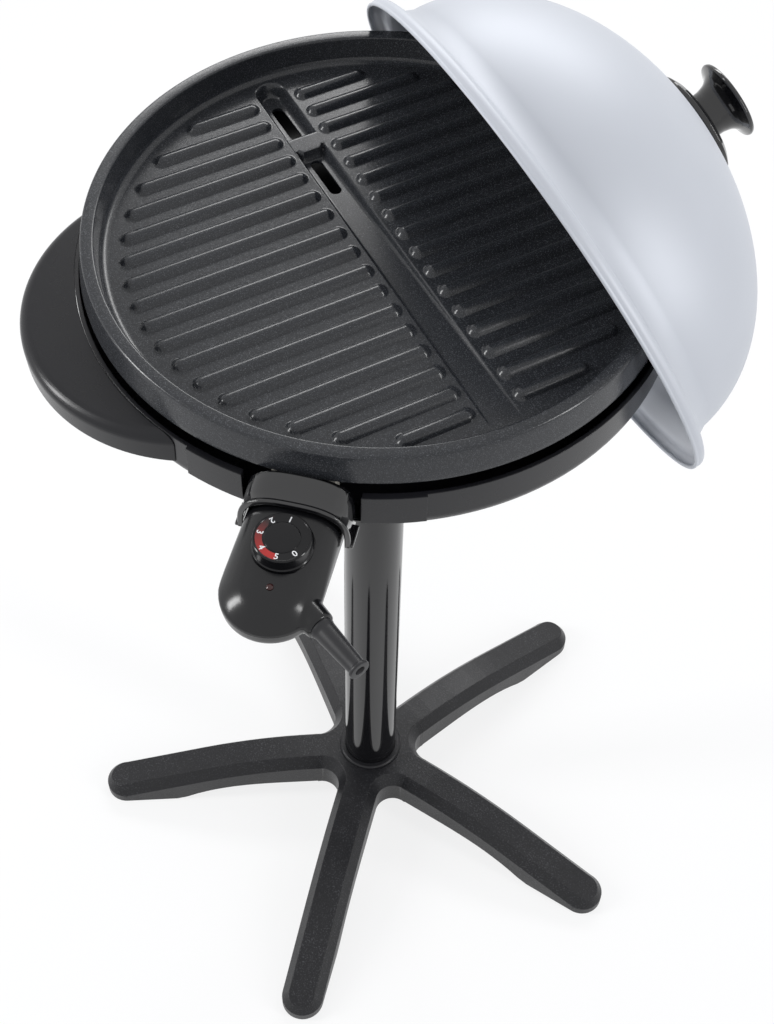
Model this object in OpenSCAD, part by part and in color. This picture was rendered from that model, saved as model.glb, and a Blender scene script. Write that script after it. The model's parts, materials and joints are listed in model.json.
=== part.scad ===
// Electric grill on a pedestal: a round ribbed plate in a moulded housing with two wing handles,
// a plug-in thermostat under a hood, a domed lid hung over one side, and a five-legged stand.
// Origin on the floor under the column, +Z up, thermostat towards -Y.

/* [Grill plate] */
// Height of the plate's rim above the floor
plate_height = 907; // [700:1:1000]
// Radius of the plate's rim at its top edge
plate_r = 225; // [215:1:235]
// How far the rim's skirt spreads towards its lower edge
skirt_spread = 3; // [1:0.5:5]
// Height of the skirt
skirt_h = 25.6; // [24.5:0.1:30]
// Wall thickness of the skirt
skirt_t = 3; // [2.4:0.1:4]
// Width of the flat band on top of the rim
rim_band = 8; // [6:0.5:10]
// Depth of the cooking floor below the rim
floor_depth = 22; // [18:0.5:23]
// Thickness of the cooking floor
floor_t = 5.5; // [5:0.1:7]
// Pitch of the ribs
rib_pitch = 22.4; // [20:0.1:26]
// Rows of ribs on each side of the channel
rib_rows = 17; // [11:2:17]
// Width of a rib
rib_w = 11; // [8:0.5:13]
// Height of a rib
rib_h = 4.6; // [3:0.1:6]
// Distance from the channel's middle to the ribs' inner ends
rib_inner = 17.5; // [16:0.5:24]
// Radius that the ribs' outer ends keep to
rib_outer_r = 195.5; // [186:0.5:200]
// Direction of the ribs, counted from +X
rib_turn = 41; // [36:1:46]

/* [Drain] */
// Width of the channel between the ribs
channel_w = 25; // [20:0.5:26]
// Depth of the channel at its round end
channel_depth = 8.5; // [7:0.1:9]
// Distance from the centre to the channel's round end
channel_end = 203; // [198:1:204]
// Distance from the centre to the bridge between the slots
bridge_at = 126; // [120:1:130]
// Length of the bridge along the channel
bridge_l = 27; // [20:1:30]
// Width of the drain slots
slot_w = 10; // [8:0.5:12]
// Length of the outer slot
slot_outer_l = 43; // [30:1:46]
// Length of the inner slot
slot_inner_l = 43; // [30:1:50]

/* [Housing] */
// Drop from the plate's rim to the housing's edge
edge_drop = 34; // [33:0.5:38]
// Height of the housing's upright wall
wall_h = 30; // [28:0.5:34]
// Wall thickness of the housing
house_t = 3.2; // [2.6:0.1:4]
// Gap between the plate's skirt and the housing's wall
plate_gap = 1.6; // [1.2:0.1:3]
// Depth of the bowl below the wall
bowl_depth = 17; // [15:0.5:24]
// Raise of the band round the hood
band_t = 2.2; // [1:0.1:3]
// Radius of a wing handle's outline
wing_r = 134; // [128:1:138]
// Distance from the column's axis to a wing handle's middle
wing_out = 146; // [142:1:150]
// Height of a wing handle's side
wing_h = 27; // [24:0.5:28]
// Radius of a wing handle's top edge
wing_round = 9; // [5:0.5:10]
// Fall of a wing handle towards its outer edge
wing_tilt = 3; // [0:0.5:3.5]
// Direction of the right wing handle, counted from +X
wing_turn = 33; // [28:1:38]

/* [Thermostat] */
// Half the width of the hood at its foot
hood_half_w = 39.5; // [38:0.5:41]
// Height of the hood
hood_h = 36.5; // [35:0.5:37.5]
// Wall thickness of the hood
hood_t = 2.6; // [2:0.1:3]
// Distance from the plate's rim to the hood's mouth
hood_reach = 25; // [22:0.5:28]
// Radius of the thermostat's round end
case_r = 36; // [34:0.5:38]
// Distance from the plate's rim to the middle of the round end
case_reach = 80; // [77:1:85]
// Height of the thermostat's case
case_h = 34; // [32:0.5:36]
// Radius of the dial
dial_r = 21.7; // [19:0.1:22.5]
// Height of the dial
dial_h = 12.4; // [9:0.1:14]
// Distance from the plate's rim to the middle of the dial
dial_reach = 54; // [52:0.5:57]
// Radius of the sensing rod
probe_r = 3.15; // [2.5:0.05:3.5]
// Length of the sensing rod outside the case
probe_l = 44; // [40:1:48]
// Length of the cable boot
boot_l = 43; // [36:1:50]

/* [Lid] */
// Radius of the lid's lower edge
lid_r = 229; // [229:0.5:232]
// Radius of the dome above the lid's flange
dome_r = 206; // [206:0.5:208]
// Height of the dome from its widest place to its top
dome_h = 151; // [149:1:158]
// Thickness of the lid's sheet
lid_t = 1.2; // [0.9:0.1:1.3]
// Lean of the hanging lid's axis above the horizontal
lid_lean = 22.7; // [22:0.1:23.5]
// Direction of the hanging lid's axis, counted from +X
lid_turn = 42.3; // [41.5:0.1:43]
// Distance from the column's axis to the middle of the lid's mouth
lid_out = 140; // [140:0.5:143]
// Direction of the middle of the lid's mouth, counted from +X
lid_side = 40.9; // [40:0.1:42]
// Drop from the plate's rim to the middle of the lid's mouth
lid_drop = 86; // [83:0.5:86]
// Radius of the knob's shield
shield_r = 45.8; // [40:0.2:50]
// Radius of the knob's rim
knob_r = 34; // [28:0.5:38]
// Height of the knob
knob_h = 29; // [24:0.5:34]

/* [Stand] */
// Number of legs
leg_count = 5; // [4:1:6]
// Turn of the legs against the thermostat
leg_turn = -1.2; // [-30:0.1:30]
// Distance from the column's axis to the middle of a leg's round end
leg_reach = 285; // [270:1:320]
// Half the width of a leg
leg_half_w = 22.5; // [20:0.5:25]
// Half the width of a leg's top face
leg_top_half_w = 14; // [12:0.5:16]
// Height of the chamfer beside a leg's top face
leg_chamfer = 15; // [10:0.5:16]
// Height of the hub
hub_h = 75; // [68:0.5:85]
// Height of a leg at its round end
tip_h = 28; // [26:0.5:34]
// Height of the arch under a leg
arch_h = 29.5; // [24:0.5:32]
// Radius of the column
column_r = 28.4; // [24:0.1:30]
// Wall thickness of the column
column_t = 1.5; // [1:0.1:2.5]
// Radius of a foot pad
pad_r = 13; // [8:0.5:15]
// How far a foot pad stands out
pad_out = 1.5; // [1:0.1:3]

/* [Drip tray] */
// Width of the tray
tray_w = 90; // [70:1:94]
// Height of the tray
tray_h = 19; // [14:0.5:20]
// Distance from the column's axis to the tray's inner end
tray_in = 42; // [40:1:55]
// Wall thickness of the tray
tray_t = 1.4; // [1:0.1:2]

/* [Hidden] */

// Clearances
run_gap = 0.06;
seat_gap = 0.3;
slip_gap = 0.1;
loose_gap = 0.8;

// Heights that follow from the plate
floor_z = plate_height - floor_depth;
under_z = floor_z - floor_t;
skirt_z = plate_height - skirt_h;
skirt_r = plate_r + skirt_spread;
channel_r = channel_w / 2;
channel_run = channel_end - channel_r + 196;
channel_fall = atan2(channel_depth, channel_run);
keel_t = 3.4;
slot_land = 1.2;
keel_z = floor_z - channel_depth - keel_t;
floor_r = plate_r - 20;
hood_mouth = plate_r + hood_reach;
case_out = plate_r + case_reach;
dial_out = plate_r + dial_reach;
lens_out = dial_out + dial_r + 11.3;

// Housing
house_in = skirt_r + plate_gap;
house_r = house_in + house_t;
edge_z = plate_height - edge_drop;
wall_z = edge_z - wall_h;
bowl_z = wall_z - bowl_depth;
bowl_t = 3;
bowl_top = bowl_z + bowl_t;
bowl_flat_r = house_r - 28;
socket_t = 4.6;
socket_h = 56;
socket_r = column_r + run_gap;
post_r = 6;
post_at = plate_r - 37;
post_turns = [0, 60, 150, 210, 270];
post_bore_r = 2.1;
standoff_at = 110;
standoff_turns = [0, 180, 270];
notch_half_w = hood_half_w + 3.6;
band_sweep = 22;
wing_join = plate_r - 20;

// Element and shield
element_r = 4;
element_out = plate_r - 65;
element_in = plate_r - 113;
element_z = under_z - element_r - seat_gap;
shield_r_out = plate_r - 47;
shield_t = 0.8;
shield_z = bowl_top + 27;
bend_r = 12;
clip_turns = [20, 150, 200, 320];
drain_clear = 30;
drain_half_w = 24;
slot_turn = rib_turn + 90;

// Thermostat, with its hood on the housing
hood_z = wall_z + 0.2;
hood_top = hood_z + hood_h;
block_y = skirt_r - 16;
block_t = 12;
hood_in = block_y + block_t + seat_gap;
pin_z = wall_z + 15;
pin_x = 14;
pin_r = 2.5;
pin_l = 22;
nose_y = house_r + 3.2;
rod_z = wall_z + 27;
boss_half_w = 8;
case_z = wall_z - 10.5;
case_split = case_z + 15;
case_top = case_z + case_h;
case_x = -2;
nose_gap = 1.6;
nose_half_w = hood_half_w - hood_t - nose_gap;
nose_top = hood_top - hood_t - nose_gap;
boot_x = 38;
boot_y = -case_out - 17;
boot_turn = -38.5;
boot_r = 8.8;
boot_end_r = 6.9;
cord_r = 3.6;
tail_r = 11.5;
spindle_r = 3;
spindle_l = 12;

// Lid, hung with its axis leaning out over the right wing handle
flange_h = 13.6;
lid_top = flange_h + dome_h;
lid_x = lid_out * cos(lid_side);
lid_y = lid_out * sin(lid_side);
lid_z = plate_height - lid_drop;
apex_in = lid_top - lid_t;
knob_base = 9;
screw_r = 2.9;
hanger_t = 2;
hanger_w = 20;
hanger_x = -9;
hanger_drop = 0.4;
hanger_foot_r = 3;
hanger_foot_z = wing_meet(hanger_x, (hanger_foot_r + seat_gap) / cos(wing_tilt));

// Stand
hub_fillet = 20;
hub_flat = 60;
leg_straight = 90;
leg_bend = leg_reach - leg_straight - hub_flat;
leg_curve_r = (leg_bend * leg_bend / 2 + leg_bend * leg_straight) / (hub_h - tip_h);
arch_from = 90;
arch_to = leg_reach - 64;
hub_under = arch_h - 1;
leg_wall = 3.6;
boss_wall = 6;
hub_seat = arch_h + 5;
pad_h = 3;
pad_at = leg_reach - 2;
collar_r = column_r + 6.1;
collar_h = 4;
bolt_r = 4;

// Tray
tray_z = bowl_top + 3;
tray_gap = 0.6;
guide_l = plate_r - 75;
tray_front = house_r + 0.6;
tray_front_t = 3;

$fn = 96;

// A ring or disc turned from a profile of radius and height
module turned(points) {
    rotate_extrude() polygon(points);
}

// Points of an arc, for profiles
function arc(cx, cy, r, a0, a1, n) =
    [for (i = [0 : n]) [cx + r * cos(a0 + (a1 - a0) * i / n), cy + r * sin(a0 + (a1 - a0) * i / n)]];

// A slot with round ends from one point to another along X, standing on z = 0
module capsule(x0, x1, r, h) {
    translate([x0, 0, 0]) cylinder(r = r, h = h);
    translate([x1, 0, 0]) cylinder(r = r, h = h);
    translate([x0, -r, 0]) cube([x1 - x0, 2 * r, h]);
}

module along(turn) {
    rotate([0, 0, turn]) children();
}

// Stand

// Height of a leg's top face at a distance from the column's axis
function leg_top(x) =
    x < hub_flat ? hub_h
    : x < hub_flat + leg_bend ? hub_h - pow(x - hub_flat, 2) / (2 * leg_curve_r)
    : hub_h - pow(leg_bend, 2) / (2 * leg_curve_r) - (x - hub_flat - leg_bend) * leg_bend / leg_curve_r;

// Height of the arch under a leg
function leg_under(x) =
    x < arch_from ? arch_h
    : x < arch_to ? pad_out + (arch_h - pad_out) * (1 - pow((x - arch_from) / (arch_to - arch_from), 3))
    : pad_out;

function leg_stations(from, to, n) = [for (i = [0 : n]) from + (to - from) * i / n];

// The body of one leg along +X, with its walls moved in and its top moved down by inset
module leg_form(inset, from) {
    half_w = leg_half_w - inset;
    top_half_w = leg_top_half_w - inset;
    run = half_w - top_half_w;
    slope = atan2(leg_chamfer, run);
    end_x = leg_reach + half_w;
    tops = [for (x = leg_stations(from, end_x, 16)) [x, leg_top(x) - inset]];
    unders = [for (x = leg_stations(end_x, from, 24)) [x, inset > 0 ? -1 : leg_under(x)]];
    intersection() {
        rotate([90, 0, 0]) linear_extrude(height = 2 * half_w, center = true) polygon(concat(tops, unders));
        union() {
            intersection() {
                leg_chamfer_side(top_half_w, slope, inset, from);
                mirror([0, 1, 0]) leg_chamfer_side(top_half_w, slope, inset, from);
                translate([from, -half_w, -2]) cube([leg_reach - from, 2 * half_w, hub_h + 4]);
            }
            translate([leg_reach, 0, 0]) leg_tip(half_w, run, leg_top(leg_reach) - inset - leg_chamfer);
        }
    }
}

// Everything under one chamfered side of a leg
module leg_chamfer_side(top_half_w, slope, inset, from) {
    tops = [for (x = leg_stations(from, leg_reach + 1, 16))
        [x, top_half_w * sin(slope) + (leg_top(x) - inset) * cos(slope)]];
    rotate([90 - slope, 0, 0])
        linear_extrude(height = 4 * hub_h, center = true)
            polygon(concat(tops, [[leg_reach + 1, -2 * hub_h], [from, -2 * hub_h]]));
}

// The round end of a leg, with the chamfer carried round it
module leg_tip(half_w, run, chamfer_z) {
    cone_h = leg_chamfer * 1.6;
    cylinder(r = half_w, h = chamfer_z);
    translate([0, 0, chamfer_z]) cylinder(r1 = half_w, r2 = half_w - run * 1.6, h = cone_h);
}

// The web between the legs, rounded by one fillet per corner
module hub_form() {
    half_angle = 180 / leg_count;
    fillet_at = (leg_half_w + hub_fillet) / sin(half_angle);
    corner_x = fillet_at * cos(half_angle) + 3.5;
    corner_y = leg_half_w - 0.5;
    corners = [for (i = [0 : leg_count - 1], side = [-1, 1])
        let (a = i * 360 / leg_count)
        [corner_x * cos(a) - side * corner_y * sin(a), corner_x * sin(a) + side * corner_y * cos(a)]];
    difference() {
        translate([0, 0, hub_under]) linear_extrude(height = hub_h - hub_under) polygon(corners);
        for (i = [0 : leg_count - 1])
            along((i + 0.5) * 360 / leg_count) translate([fillet_at, 0, 0]) hub_corner_cut();
    }
}

module hub_corner_cut() {
    run = leg_half_w - leg_top_half_w;
    r = hub_fillet + 0.1;
    translate([0, 0, hub_under - 1]) cylinder(r = r, h = hub_h);
    translate([0, 0, hub_h - leg_chamfer]) cylinder(r1 = r, r2 = r + run * 1.2, h = leg_chamfer * 1.2);
}

module each_leg() {
    for (i = [0 : leg_count - 1]) along(-90 + leg_turn + i * 360 / leg_count) children();
}

// Five-legged star, hollow under its legs, with a blind socket for the column
module base_star() {
    color("#2a2b2e") difference() {
        union() {
            along(-90 + leg_turn) hub_form();
            each_leg() leg_form(0, column_r + 1.6);
        }
        each_leg() intersection() {
            leg_form(leg_wall, 0);
            translate([column_r + boss_wall, -hub_h, -2]) cube([arch_to - 4 - column_r - boss_wall, 2 * hub_h, hub_h + 4]);
        }
        each_leg() translate([pad_at, 0, 0]) cylinder(r = pad_r + seat_gap, h = pad_h);
        translate([0, 0, hub_seat]) cylinder(r = column_r + run_gap, h = hub_h);
        translate([0, 0, hub_under - 1]) cylinder(r = bolt_r + slip_gap, h = hub_h);
    }
}

module foot_pad(i) {
    color("#1b1b1c") along(-90 + leg_turn + i * 360 / leg_count) translate([pad_at, 0, 0]) difference() {
        cylinder(r = pad_r, h = pad_h);
        translate([0, 0, -0.01]) cylinder(r = pad_r - 5, h = 0.8);
    }
}

module column_tube() {
    color("#202124") translate([0, 0, hub_seat]) difference() {
        cylinder(r = column_r, h = bowl_z - hub_seat);
        translate([0, 0, 6]) cylinder(r = column_r - column_t, h = bowl_z - hub_seat);
        translate([0, 0, -1]) cylinder(r = bolt_r + slip_gap, h = 8);
    }
}

module column_collar() {
    bore = column_r + run_gap;
    color("#26272a") translate([0, 0, hub_h]) turned([
        [bore, 0], [collar_r, 0], [collar_r, collar_h - 1.6], [collar_r - 1.6, collar_h], [bore, collar_h]]);
}

// Bolt, washer and nut that clamp the column to the hub
module base_bolt() {
    color("#8d9095") {
        translate([0, 0, hub_under - 5.5]) cylinder(r = 7, h = 4, $fn = 6);
        translate([0, 0, hub_under - 1.5]) cylinder(r = 12, h = 1.5);
        translate([0, 0, hub_under - 2]) cylinder(r = bolt_r, h = hub_seat - hub_under + 15);
        translate([0, 0, hub_seat + 6]) cylinder(r = 7, h = 6, $fn = 6);
    }
}

// Housing

function bowl_outline() = concat(
    [[house_r, edge_z], [house_r, wall_z + 3]],
    arc(house_r - 14, wall_z + 3, 14, 0, -55, 6),
    [[bowl_flat_r, bowl_z]]);

function bowl_inside() = concat(
    [[bowl_flat_r, bowl_top]],
    arc(house_r - 14, wall_z + 3, 14 - house_t, -55, 0, 6),
    [[house_in, edge_z]]);

module bowl() {
    turned(concat(bowl_outline(), [[0, bowl_z], [0, bowl_top]], bowl_inside()));
}

// A wing handle's form about its own middle, with its top face at z = 0
module wing_form(inset) {
    r = wing_r - inset;
    round_r = wing_round - inset * 0.6;
    turned(concat([[0, -inset], [r - round_r, -inset]],
        arc(r - round_r, -inset - round_r, round_r, 90, 0, 8),
        [[r, -wing_h - 12], [0, -wing_h - 12]]));
}

module wing_place(turn) {
    along(turn) translate([wing_join, 0, edge_z]) rotate([0, wing_tilt, 0])
        translate([wing_out - wing_join, 0, 0]) children();
}

module wing(turn) {
    color("#232427") difference() {
        wing_place(turn) wing_form(0);
        wing_place(turn) difference() {
            wing_form(house_t);
            translate([wing_join - wing_out, 0, -2 * wing_h]) rotate([0, -wing_tilt, 0])
                translate([-wing_join, 0, -wing_h]) cylinder(r = house_r - 0.5, h = 6 * wing_h);
        }
        translate([0, 0, bowl_z - 40]) cylinder(r = house_r + seat_gap, h = 120);
        translate([0, 0, bowl_z - 60]) cylinder(r = 2 * house_r, h = edge_z - wing_h - bowl_z + 60);
    }
}

// The raised band beside the hood
module front_band() {
    reach = house_r + band_t;
    intersection() {
        translate([0, 0, wall_z + 1]) difference() {
            cylinder(r = reach, h = wall_h - 1);
            translate([0, 0, -1]) cylinder(r = house_r - 1, h = wall_h + 2);
        }
        translate([0, 0, wall_z]) linear_extrude(height = wall_h)
            polygon([[0, 0], [-2 * reach * sin(band_sweep), -2 * reach * cos(band_sweep)],
                [2 * reach * sin(band_sweep), -2 * reach * cos(band_sweep)]]);
    }
}

// Socket for the column, braced by gussets
module column_socket() {
    gusset = [[socket_r + 1, bowl_z], [socket_r + 62, bowl_z], [socket_r + 62, bowl_z - 4],
        [socket_r + socket_t + 1, bowl_z - socket_h + 8], [socket_r + 1, bowl_z - socket_h + 8]];
    color("#232427") difference() {
        union() {
            translate([0, 0, bowl_z - socket_h]) cylinder(r = socket_r + socket_t, h = socket_h);
            for (i = [0 : 5]) along(rib_turn + i * 60)
                rotate([90, 0, 0]) linear_extrude(height = 4, center = true) polygon(gusset);
        }
        translate([0, 0, bowl_z - socket_h - 1]) cylinder(r = socket_r, h = socket_h + 2);
    }
}

// Posts that carry the plate, bored for the screws, and stand-offs under the heat shield
module housing_posts() {
    color("#232427") {
        for (a = post_turns) along(rib_turn + a) translate([post_at, 0, bowl_top]) difference() {
            cylinder(r = post_r, h = under_z - bowl_top);
            translate([0, 0, -1]) cylinder(r = post_bore_r, h = 13);
        }
        for (a = standoff_turns) along(rib_turn + a) translate([standoff_at, 0, bowl_top])
            cylinder(r = 4, h = shield_z - bowl_top);
    }
}

// Guides that carry the tray along the floor of the bowl
module tray_guides() {
    half_w = tray_w / 2 + tray_gap;
    color("#232427") along(slot_turn) for (side = [-1, 1]) {
        translate([tray_in, side * (half_w + 1.5) - 1.5, bowl_top]) cube([guide_l, 3, tray_z - bowl_top + 6]);
        translate([tray_in, side * (half_w - 3) - 3, bowl_top]) cube([guide_l, 6, tray_z - bowl_top - slip_gap]);
    }
}

module grill_housing() {
    half_w = tray_w / 2 + tray_gap;
    color("#232427") difference() {
        union() {
            bowl();
            front_band();
        }
        translate([-notch_half_w, -house_r - 10, wall_z]) cube([2 * notch_half_w, 30, wall_h + 10]);
        along(slot_turn) translate([bowl_flat_r - 12, -half_w, tray_z - slip_gap])
            cube([80, 2 * half_w, tray_h + 2 * tray_gap]);
        for (a = post_turns) along(rib_turn + a) translate([post_at, 0, bowl_z - 1])
            cylinder(r = post_bore_r, h = 16);
    }
}

module housing_screws() {
    color("#8d9095") for (a = post_turns) along(rib_turn + a) translate([post_at, 0, bowl_z - 2.2]) {
        cylinder(r = 4.2, h = 2.2);
        cylinder(r = 2, h = 14);
    }
}

// Dished sheet that throws the heat up, open over the tray
module heat_shield() {
    color("#b9bcc0") difference() {
        translate([0, 0, shield_z]) turned([
            [0, 0], [shield_r_out - 8, 0], [shield_r_out, 6], [shield_r_out, 6 + shield_t],
            [shield_r_out - 8.5, shield_t], [0, shield_t]]);
        along(slot_turn) translate([50, -drain_half_w, shield_z - 1]) cube([200, 2 * drain_half_w, 12]);
    }
}

// Ribbed plate

function plate_section() = concat(
    [[0, under_z], [floor_r + 3, under_z], [floor_r + 10.5, under_z + 6.5],
        [plate_r - 7, plate_height - 5.2], [plate_r - skirt_t - 0.7, plate_height - 5.2],
        [skirt_r - skirt_t, skirt_z], [skirt_r, skirt_z]],
    arc(plate_r - 2.5, plate_height - 2.5, 2.5, 5, 90, 4),
    arc(plate_r - rim_band - 0.6, plate_height - 2, 2, 90, 165, 4),
    arc(floor_r + 0.5, floor_z + 7, 7, 340, 270, 5),
    [[0, floor_z]]);

// A rib along +X: a lying round bar with ball ends, sunk into the floor
module rib(x0, x1) {
    r = rib_w / 2;
    translate([x0 + r, 0, rib_h - r]) rotate([0, 90, 0]) rotate_extrude() intersection() {
        union() {
            circle(r = r);
            translate([0, x1 - x0 - rib_w]) circle(r = r);
            translate([-r, 0]) square([rib_w, x1 - x0 - rib_w]);
        }
        translate([0, -rib_w]) square([rib_w, x1 - x0 + 2 * rib_w]);
    }
}

module ribs() {
    middle = (rib_rows - 1) / 2;
    intersection() {
        for (row = [-middle : middle], side = [0, 1]) {
            y = row * rib_pitch;
            mirror([side, 0, 0]) translate([0, y, floor_z])
                rib(rib_inner, sqrt(rib_outer_r * rib_outer_r - y * y));
        }
        translate([0, 0, floor_z - 2]) cylinder(r = plate_r - 12, h = rib_h + 5);
    }
}

// The channel's form, sloping up from its round end, widened and lowered by grow
module channel_form(grow, h) {
    translate([channel_end - channel_r, 0, floor_z - channel_depth - grow])
        rotate([0, channel_fall, 0]) capsule(-channel_run, 0, channel_r + grow, h);
}

// Raised block that parts the two slots, round at its inner corners
module bridge() {
    corner_r = 6;
    translate([bridge_at - bridge_l / 2, 0, floor_z - channel_depth - 1]) {
        translate([corner_r, -channel_r - 0.5, 0]) cube([bridge_l - corner_r, channel_w + 1, channel_depth + 1.6]);
        translate([0, corner_r - channel_r, 0]) cube([corner_r + 1, channel_w - 2 * corner_r, channel_depth + 1.6]);
        for (side = [-1, 1]) translate([corner_r, side * (channel_r - corner_r), 0])
            cylinder(r = corner_r, h = channel_depth + 1.6);
    }
}

module slot_cuts() {
    r = slot_w / 2;
    outer_start = bridge_at + bridge_l / 2 + slot_land + r;
    inner_end = bridge_at - bridge_l / 2 - slot_land - r;
    translate([0, 0, keel_z - 1]) {
        capsule(outer_start, outer_start + slot_outer_l - slot_w, r, channel_depth + keel_t);
        capsule(inner_end - slot_inner_l + slot_w, inner_end, r, channel_depth + keel_t);
    }
}

module grill_plate() {
    color("#3a3c40") along(rib_turn) difference() {
        union() {
            difference() {
                union() {
                    turned(plate_section());
                    along(90) intersection() {
                        channel_form(keel_t, 40);
                        cylinder(r = plate_r - 10, h = under_z + 1);
                    }
                }
                along(90) channel_form(0, 60);
            }
            ribs();
            along(90) bridge();
            along(-90 - rib_turn) translate([block_y - 32, -boss_half_w, rod_z - 8])
                cube([32, 2 * boss_half_w, under_z - rod_z + 9]);
        }
        along(90) slot_cuts();
        along(-90 - rib_turn) translate([block_y - 30, 0, rod_z]) rotate([0, 90, 0])
            cylinder(r = probe_r + slip_gap, h = 60);
    }
}

// Two rings in one run of eight-sided tube, bent round the drain, both ends led out under
// the hood, with a short collar wherever a bend begins or ends
module heating_element() {
    outer_along = sqrt(pow(element_out - bend_r, 2) - pow(drain_clear + bend_r, 2));
    inner_along = sqrt(pow(element_in + bend_r, 2) - pow(drain_clear + bend_r, 2));
    lead_along = sqrt(pow(element_out + bend_r, 2) - pow(pin_x + bend_r, 2));
    outer_turn = atan2(drain_clear + bend_r, outer_along);
    inner_turn = atan2(drain_clear + bend_r, inner_along);
    lead_turn = atan2(pin_x + bend_r, lead_along);
    color("#55585c") translate([0, 0, element_z]) {
        element_arc(element_out, -90 + lead_turn, slot_turn - outer_turn);
        element_arc(element_out, slot_turn + outer_turn, 270 - lead_turn);
        element_arc(element_in, slot_turn + inner_turn - 360, slot_turn - inner_turn);
        for (side = [0, 1]) along(slot_turn) mirror([0, side, 0]) {
            translate([outer_along, drain_clear + bend_r, 0]) element_arc(bend_r, -90, outer_turn);
            translate([inner_along, drain_clear + bend_r, 0]) element_arc(bend_r, 180 + inner_turn, 270);
            element_run(inner_along, outer_along - 0.5, drain_clear);
            tube_collar(element_out * cos(outer_turn), element_out * sin(outer_turn));
            tube_collar(element_in * cos(inner_turn), element_in * sin(inner_turn));
            tube_collar(outer_along, drain_clear);
            tube_collar(inner_along, drain_clear);
        }
        for (side = [0, 1]) along(-90) mirror([0, side, 0]) {
            translate([lead_along, pin_x + bend_r, 0]) element_arc(bend_r, 180 + lead_turn, 270);
            element_run(lead_along, block_y, pin_x);
            tube_collar(element_out * cos(lead_turn), element_out * sin(lead_turn));
            tube_collar(lead_along, pin_x);
        }
    }
}

module tube_section() {
    polygon([for (i = [0 : 7]) element_r * [cos(22.5 + i * 45), sin(22.5 + i * 45)]]);
}

// Tube pieces stop half a millimetre short of each other, inside the collars
module element_arc(r, a0, a1) {
    short = atan2(0.5, r);
    along(a0 + short) rotate_extrude(angle = a1 - a0 - 2 * short) translate([r, 0]) tube_section();
}

module element_run(x0, x1, y) {
    translate([x0 + 0.5, y, 0]) rotate([90, 0, 90]) linear_extrude(height = x1 - x0 - 0.5) tube_section();
}

module tube_collar(x, y) {
    translate([x, y, -element_r]) cylinder(r = element_r + 0.5, h = 2 * element_r);
}

// Saddles that hold the element against the plate
module element_clips() {
    sheet = 1.5;
    drop = under_z - element_z + element_r + sheet;
    color("#b9bcc0") for (a = clip_turns)
        along(rib_turn + a) translate([element_out, 0, under_z - drop]) difference() {
            translate([-9, -6, 0]) cube([18, 12, drop]);
            translate([-element_r - 0.2, -7, sheet]) cube([2 * element_r + 0.4, 14, drop]);
        }
}

module terminal_block() {
    half_w = pin_x + 9;
    color("#d8d4c8") translate([0, -block_y - block_t, 0]) difference() {
        translate([-half_w, 0, pin_z - 7]) cube([2 * half_w, block_t, under_z - slip_gap - pin_z + 7]);
        translate([0, -1, rod_z]) rotate([-90, 0, 0]) cylinder(r = probe_r + 0.5, h = block_t + 2);
    }
}

module terminal_pins() {
    color("#c9ccd0") for (x = [-pin_x, pin_x])
        translate([x, -block_y - block_t, pin_z]) rotate([90, 0, 0]) {
            cylinder(r = pin_r, h = pin_l - 1.5);
            translate([0, 0, pin_l - 1.5]) cylinder(r1 = pin_r, r2 = pin_r - 1.2, h = 1.5);
        }
}

// Section of the hood and of the thermostat's nose: an arch of half width w and height h
function arch(w, h, n) =
    [for (i = [0 : n]) let (a = 180 * i / n, c = cos(a), s = sin(a))
        [w * sign(c) * pow(abs(c), 0.72), h * pow(s, 0.62)]];

module arch_bar(w, h, from, to) {
    translate([0, -from, hood_z]) rotate([90, 0, 0]) linear_extrude(height = to - from) polygon(arch(w, h, 32));
}

module control_hood() {
    lip = 1.6;
    color("#161618") difference() {
        union() {
            arch_bar(hood_half_w, hood_h, hood_in, hood_mouth);
            arch_bar(hood_half_w + lip, hood_h + lip, hood_mouth - 3, hood_mouth);
            for (side = [-1, 1]) translate([side * (hood_half_w + 1) - 2.5, -hood_mouth, hood_z])
                cube([5, hood_mouth - house_r - 1, 2.6]);
        }
        translate([0, 0, -0.01]) arch_bar(hood_half_w - hood_t, hood_h - hood_t, hood_in - 1, hood_mouth + 1);
    }
}

// Thermostat

module case_round(z0, z1, shrink, round_r) {
    up = z1 > z0;
    r = case_r - shrink;
    step = up ? 1 : -1;
    translate([case_x, -case_out, z0]) turned(up
        ? concat([[0, 0], [r, 0]], arc(r - round_r, z1 - z0 - round_r, round_r, 0, 90, 8), [[0, z1 - z0]])
        : concat([[0, 0], [r, 0]], arc(r - round_r, z1 - z0 + round_r, round_r, 0, -90, 6), [[0, z1 - z0]]));
}

module case_nose(z0, z1) {
    intersection() {
        translate([0, -nose_y, hood_z]) rotate([90, 0, 0]) linear_extrude(height = 5)
            polygon(concat([[nose_half_w, -30], [nose_half_w, 0]], arch(nose_half_w, nose_top - hood_z, 24),
                [[-nose_half_w, 0], [-nose_half_w, -30]]));
        translate([-100, -2 * case_out, z0]) cube([200, 2 * case_out, z1 - z0]);
    }
}

module tail_end() {
    translate([boot_x, boot_y, case_split - 2]) rotate([0, 90, boot_turn]) translate([0, 0, -3]) cylinder(r = tail_r, h = 3);
}

module keep(z0, z1) {
    intersection() {
        children();
        translate([-200, -500, z0]) cube([400, 400, z1 - z0]);
    }
}

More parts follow.
